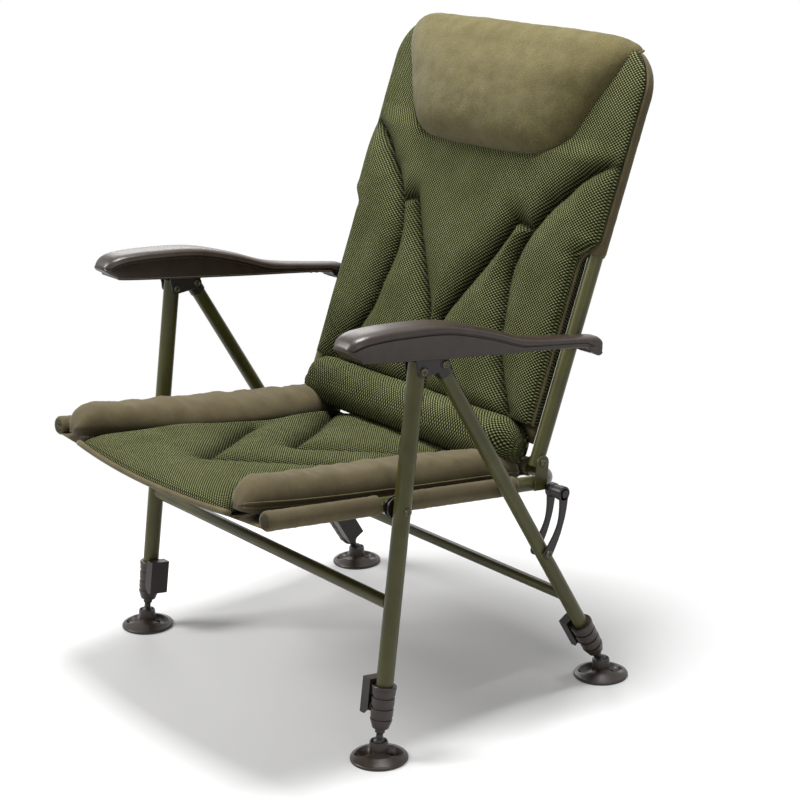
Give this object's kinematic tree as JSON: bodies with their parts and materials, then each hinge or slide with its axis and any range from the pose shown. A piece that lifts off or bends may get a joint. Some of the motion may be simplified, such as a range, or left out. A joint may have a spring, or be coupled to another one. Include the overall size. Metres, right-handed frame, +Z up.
{
  "type": "reclining fishing chair",
  "caption": "Folding reclining carp fishing chair: tube frame, padded mesh seat and back, head pillow, long moulded armrests, telescopic legs with cam clamps and swivelling mud feet.",
  "frame": {"origin": "on the ground, below the centre of the whole chair", "axes": "+Z up; the sitter faces -Y; the armrests lie at -X and +X"},
  "size_m": [0.7072, 0.7348, 0.9593],
  "materials": {
    "olive_paint": "satin, slightly glossy olive green paint",
    "dark_plastic": "dark brown-black satin moulded plastic",
    "black_plastic": "black satin moulded plastic",
    "rivet_steel": "dull dark olive-brown plated steel",
    "spacer_mesh": "green open 3-D spacer mesh over padding",
    "fleece": "soft brown-olive fleece",
    "brown_cloth": "brown-olive peach-skin polyester"
  },
  "bodies": {
    "front_frame": {"front_leg_left": "olive_paint", "front_leg_right": "olive_paint", "front_crossbar": "olive_paint", "front_collar_left": "dark_plastic", "front_collar_right": "dark_plastic", "seat_pivot_pin_left": "rivet_steel", "seat_pivot_pin_right": "rivet_steel"},
    "brackets": {"leg_bracket_left": "black_plastic", "leg_bracket_right": "black_plastic", "front_leg_pin_left": "rivet_steel", "front_leg_pin_right": "rivet_steel", "rear_leg_pin_left": "rivet_steel", "rear_leg_pin_right": "rivet_steel"},
    "rear_frame": {"rear_leg_left": "olive_paint", "rear_leg_right": "olive_paint", "rear_crossbar": "olive_paint", "rear_collar_left": "dark_plastic", "rear_collar_right": "dark_plastic", "rear_leg_ferrule_left": "black_plastic", "rear_leg_ferrule_right": "black_plastic", "link_pin_left": "rivet_steel", "link_pin_right": "rivet_steel"},
    "links": {"bracing_link_left": "black_plastic", "bracing_link_right": "black_plastic"},
    "seat": {"seat_frame": "olive_paint", "seat_fabric": "brown_cloth", "seat_cushion": "spacer_mesh", "side_bolster_left": "brown_cloth", "side_bolster_right": "brown_cloth", "seat_pivot_spacer_left": "black_plastic", "seat_pivot_spacer_right": "black_plastic"},
    "hinge_pins": {"back_hinge_pin_left": "rivet_steel", "back_hinge_pin_right": "rivet_steel", "lumbar_roll": "spacer_mesh"},
    "back": {"back_frame": "olive_paint", "back_panel": "brown_cloth", "back_cushion": "spacer_mesh", "head_pillow": "fleece"},
    "tail_pins": {"tail_pin_left": "rivet_steel", "tail_pin_right": "rivet_steel", "tail_bush_left": "black_plastic", "tail_bush_right": "black_plastic"},
    "armrests": {"armrest_left": "dark_plastic", "armrest_right": "dark_plastic"},
    "lever_front_left": {"front_cam_lever_left": "black_plastic"},
    "inner_front_left": {"front_inner_leg_left": "olive_paint"},
    "stud_front_left": {"front_ball_stud_left": "black_plastic"},
    "foot_front_left": {"front_mud_foot_left": "dark_plastic"},
    "lever_front_right": {"front_cam_lever_right": "black_plastic"},
    "inner_front_right": {"front_inner_leg_right": "olive_paint"},
    "stud_front_right": {"front_ball_stud_right": "black_plastic"},
    "foot_front_right": {"front_mud_foot_right": "dark_plastic"},
    "lever_rear_left": {"rear_cam_lever_left": "black_plastic"},
    "inner_rear_left": {"rear_inner_leg_left": "olive_paint"},
    "stud_rear_left": {"rear_ball_stud_left": "black_plastic"},
    "foot_rear_left": {"rear_mud_foot_left": "dark_plastic"},
    "lever_rear_right": {"rear_cam_lever_right": "black_plastic"},
    "inner_rear_right": {"rear_inner_leg_right": "olive_paint"},
    "stud_rear_right": {"rear_ball_stud_right": "black_plastic"},
    "foot_rear_right": {"rear_mud_foot_right": "dark_plastic"}
  },
  "joints": [
    {"name": "fold", "type": "hinge", "parent": "front_frame", "child": "seat", "pos_m": [0, -0.15302, 0.36225], "axis": [-1, 0, 0], "range_deg": [0, 66], "deforming": ["lumbar_roll"]},
    {"name": "bracket_turn", "type": "hinge", "parent": "front_frame", "child": "brackets", "pos_m": [0, -0.12355, 0.5595], "axis": [-1, 0, 0], "range_deg": [0, 58]},
    {"name": "rear_leg_swing", "type": "hinge", "parent": "brackets", "child": "rear_frame", "pos_m": [0, -0.08555, 0.563], "axis": [-1, 0, 0], "range_deg": [-23, 0]},
    {"name": "link_swing", "type": "hinge", "parent": "rear_frame", "child": "links", "pos_m": [0, 0.10548, 0.23509], "axis": [-1, 0, 0], "range_deg": [0, 87]},
    {"name": "back_fold", "type": "hinge", "parent": "seat", "child": "hinge_pins", "pos_m": [0, 0.12634, 0.36193], "axis": [-1, 0, 0], "range_deg": [-67, 0]},
    {"name": "recline", "type": "hinge", "parent": "hinge_pins", "child": "back", "pos_m": [0, 0.12634, 0.36193], "axis": [-1, 0, 0], "range_deg": [0, 33]},
    {"name": "tail_swing", "type": "hinge", "parent": "brackets", "child": "tail_pins", "pos_m": [0, 0.12634, 0.36193], "axis": [-1, 0, 0], "range_deg": [0, 34]},
    {"name": "armrest_tilt", "type": "hinge", "parent": "tail_pins", "child": "armrests", "pos_m": [0, 0.19504, 0.53369], "axis": [-1, 0, 0], "range_deg": [-27, 0]},
    {"name": "cam_lever_front_left", "type": "hinge", "parent": "front_frame", "child": "lever_front_left", "pos_m": [-0.288, -0.19631, 0.07246], "axis": [0, 0.989, -0.1478], "range_deg": [0, 85]},
    {"name": "leg_slide_front_left", "type": "slide", "parent": "front_frame", "child": "inner_front_left", "axis": [0, -0.1478, -0.989], "range_m": [0, 0.11]},
    {"name": "foot_spin_front_left", "type": "hinge", "parent": "inner_front_left", "child": "stud_front_left", "pos_m": [-0.312, -0.20355, 0.024], "axis": [0, 0.1478, 0.989], "continuous": true},
    {"name": "foot_tilt_front_left", "type": "hinge", "parent": "stud_front_left", "child": "foot_front_left", "pos_m": [-0.312, -0.20355, 0.024], "axis": [1, 0, 0], "range_deg": [-40, 24]},
    {"name": "cam_lever_front_right", "type": "hinge", "parent": "front_frame", "child": "lever_front_right", "pos_m": [0.288, -0.19631, 0.07246], "axis": [0, -0.989, 0.1478], "range_deg": [0, 85]},
    {"name": "leg_slide_front_right", "type": "slide", "parent": "front_frame", "child": "inner_front_right", "axis": [0, -0.1478, -0.989], "range_m": [0, 0.11]},
    {"name": "foot_spin_front_right", "type": "hinge", "parent": "inner_front_right", "child": "stud_front_right", "pos_m": [0.312, -0.20355, 0.024], "axis": [0, 0.1478, 0.989], "continuous": true},
    {"name": "foot_tilt_front_right", "type": "hinge", "parent": "stud_front_right", "child": "foot_front_right", "pos_m": [0.312, -0.20355, 0.024], "axis": [1, 0, 0], "range_deg": [-40, 24]},
    {"name": "cam_lever_rear_left", "type": "hinge", "parent": "rear_frame", "child": "lever_rear_left", "pos_m": [-0.288, 0.20379, 0.06634], "axis": [0, 0.8641, 0.5034], "range_deg": [0, 85]},
    {"name": "leg_slide_rear_left", "type": "slide", "parent": "rear_frame", "child": "inner_rear_left", "axis": [0, 0.5034, -0.8641], "range_m": [0, 0.11]},
    {"name": "foot_spin_rear_left", "type": "hinge", "parent": "inner_rear_left", "child": "stud_rear_left", "pos_m": [-0.312, 0.22845, 0.024], "axis": [0, -0.5034, 0.8641], "continuous": true},
    {"name": "foot_tilt_rear_left", "type": "hinge", "parent": "stud_rear_left", "child": "foot_rear_left", "pos_m": [-0.312, 0.22845, 0.024], "axis": [1, 0, 0], "range_deg": [-2, 60]},
    {"name": "cam_lever_rear_right", "type": "hinge", "parent": "rear_frame", "child": "lever_rear_right", "pos_m": [0.288, 0.20379, 0.06634], "axis": [0, -0.8641, -0.5034], "range_deg": [0, 85]},
    {"name": "leg_slide_rear_right", "type": "slide", "parent": "rear_frame", "child": "inner_rear_right", "axis": [0, 0.5034, -0.8641], "range_m": [0, 0.11]},
    {"name": "foot_spin_rear_right", "type": "hinge", "parent": "inner_rear_right", "child": "stud_rear_right", "pos_m": [0.312, 0.22845, 0.024], "axis": [0, -0.5034, 0.8641], "continuous": true},
    {"name": "foot_tilt_rear_right", "type": "hinge", "parent": "stud_rear_right", "child": "foot_rear_right", "pos_m": [0.312, 0.22845, 0.024], "axis": [1, 0, 0], "range_deg": [-2, 60]}
  ],
  "couplings": [
    {"joint": "bracket_turn", "follows": "fold", "ratio": 0.8613},
    {"joint": "rear_leg_swing", "follows": "fold", "ratio": -0.331},
    {"joint": "link_swing", "follows": "fold", "ratio": 1.2916},
    {"joint": "back_fold", "follows": "fold", "ratio": -0.9997},
    {"joint": "tail_swing", "follows": "recline", "ratio": 1},
    {"joint": "armrest_tilt", "follows": "recline", "ratio": -0.773}
  ]
}
